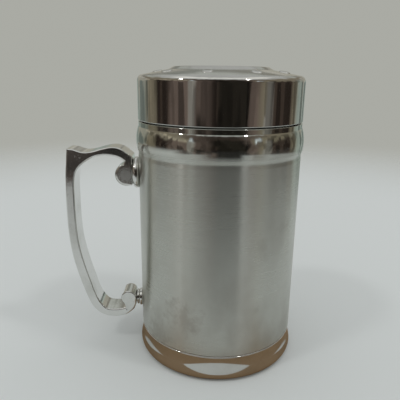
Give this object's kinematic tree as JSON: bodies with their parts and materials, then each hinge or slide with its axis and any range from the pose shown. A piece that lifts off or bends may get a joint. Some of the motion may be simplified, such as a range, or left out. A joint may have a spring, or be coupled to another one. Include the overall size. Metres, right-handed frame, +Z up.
{
  "type": "insulated mug with screw lid",
  "caption": "Double-walled steel mug with a brushed body, polished collar and base, a cast scroll handle fixed on studs, and a threaded lid that unscrews and lifts off.",
  "frame": {"origin": "centre of the base on the mug's axis, on the surface that it stands on", "axes": "+Z up along the mug's axis, handle towards -X"},
  "size_m": [0.125, 0.087, 0.1536],
  "materials": {
    "brushed_steel": "fine circumferential satin brushing, polished above the tube",
    "polished_steel": "mirror polished steel",
    "cast_chrome": "bright plated casting",
    "liner_steel": "electropolished steel",
    "dark_steel": "black oxide",
    "braze": "brazing alloy",
    "getter_alloy": "sintered, dull",
    "foil": "bright metal foil",
    "insert_plastic": "moulded polypropylene, satin",
    "foam": "closed-cell foam",
    "silicone": "translucent white silicone"
  },
  "bodies": {
    "mug": {"outer_shell": "brushed_steel", "neck_thread": "polished_steel", "base_cup": "polished_steel", "outer_bottom": "liner_steel", "vacuum_seal": "braze", "getter": "getter_alloy", "getter_clip": "liner_steel", "liner_tube": "liner_steel", "liner_bottom": "liner_steel", "foil_wrap": "foil", "handle": "cast_chrome", "upper_bead": "cast_chrome", "lower_ring": "cast_chrome", "lower_bead": "cast_chrome", "upper_stud": "liner_steel", "lower_stud": "liner_steel", "upper_grub_screw": "dark_steel", "lower_grub_screw": "dark_steel"},
    "lid_seal": {"lid_gasket": "silicone"},
    "lid": {"lid_cover": "polished_steel", "lid_insert": "insert_plastic", "lid_thread": "insert_plastic", "lid_foam": "foam"}
  },
  "joints": [
    {"name": "lid_rise", "type": "slide", "parent": "mug", "child": "lid_seal", "axis": [0, 0, 1], "range_m": [0, 0.024]},
    {"name": "lid_turn", "type": "hinge", "parent": "lid_seal", "child": "lid", "pos_m": [0, 0, 0.14], "axis": [0, 0, 1], "range_deg": [0, 720]}
  ],
  "couplings": [
    {"joint": "lid_rise", "follows": "lid_turn", "m_per_rad": 0.0019098}
  ]
}
